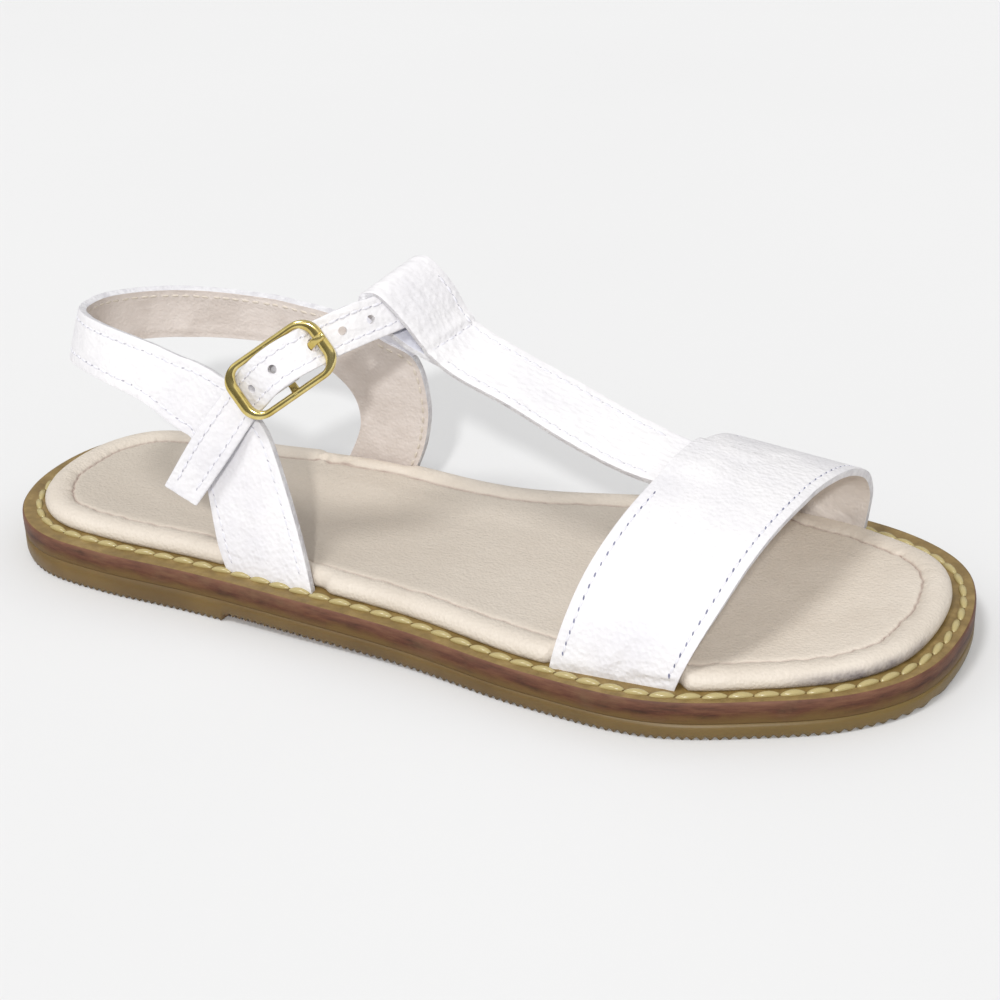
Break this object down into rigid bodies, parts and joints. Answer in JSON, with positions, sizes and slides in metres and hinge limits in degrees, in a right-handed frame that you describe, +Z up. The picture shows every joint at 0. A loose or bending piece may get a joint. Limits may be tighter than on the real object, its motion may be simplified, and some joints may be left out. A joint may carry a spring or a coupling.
{
  "type": "sandal",
  "caption": "Child's flat T-bar sandal for the right foot: ribbed gum outsole, stitched welt, padded footbed, toe strap, looped T-bar, heel band and buckled ankle strap.",
  "frame": {"origin": "centre of the sole outline's box on the floor plane", "axes": "+X from heel to toe, +Y to the medial side, which is the wearer's left on this right shoe, +Z up"},
  "size_m": [0.2, 0.0834, 0.0669],
  "materials": {
    "outsole": "translucent honey gum, satin",
    "midsole": "waxed leatherboard edge, satin",
    "insole": "soft beige lining leather over padding",
    "front_upper": "white pebbled leather, satin",
    "back_upper": "white pebbled leather, satin",
    "ankle_strap": "white pebbled leather, satin",
    "buckle_frame": "polished gold plate",
    "buckle_prong": "polished gold plate",
    "buckle_tab": "white leather, satin"
  },
  "bodies": {
    "root": {"outsole": "outsole", "midsole": "midsole", "insole": "insole", "front_upper": "front_upper", "back_upper": "back_upper", "ankle_strap": "ankle_strap", "buckle_frame": "buckle_frame", "buckle_prong": "buckle_prong", "buckle_tab": "buckle_tab"}
  },
  "joints": []
}
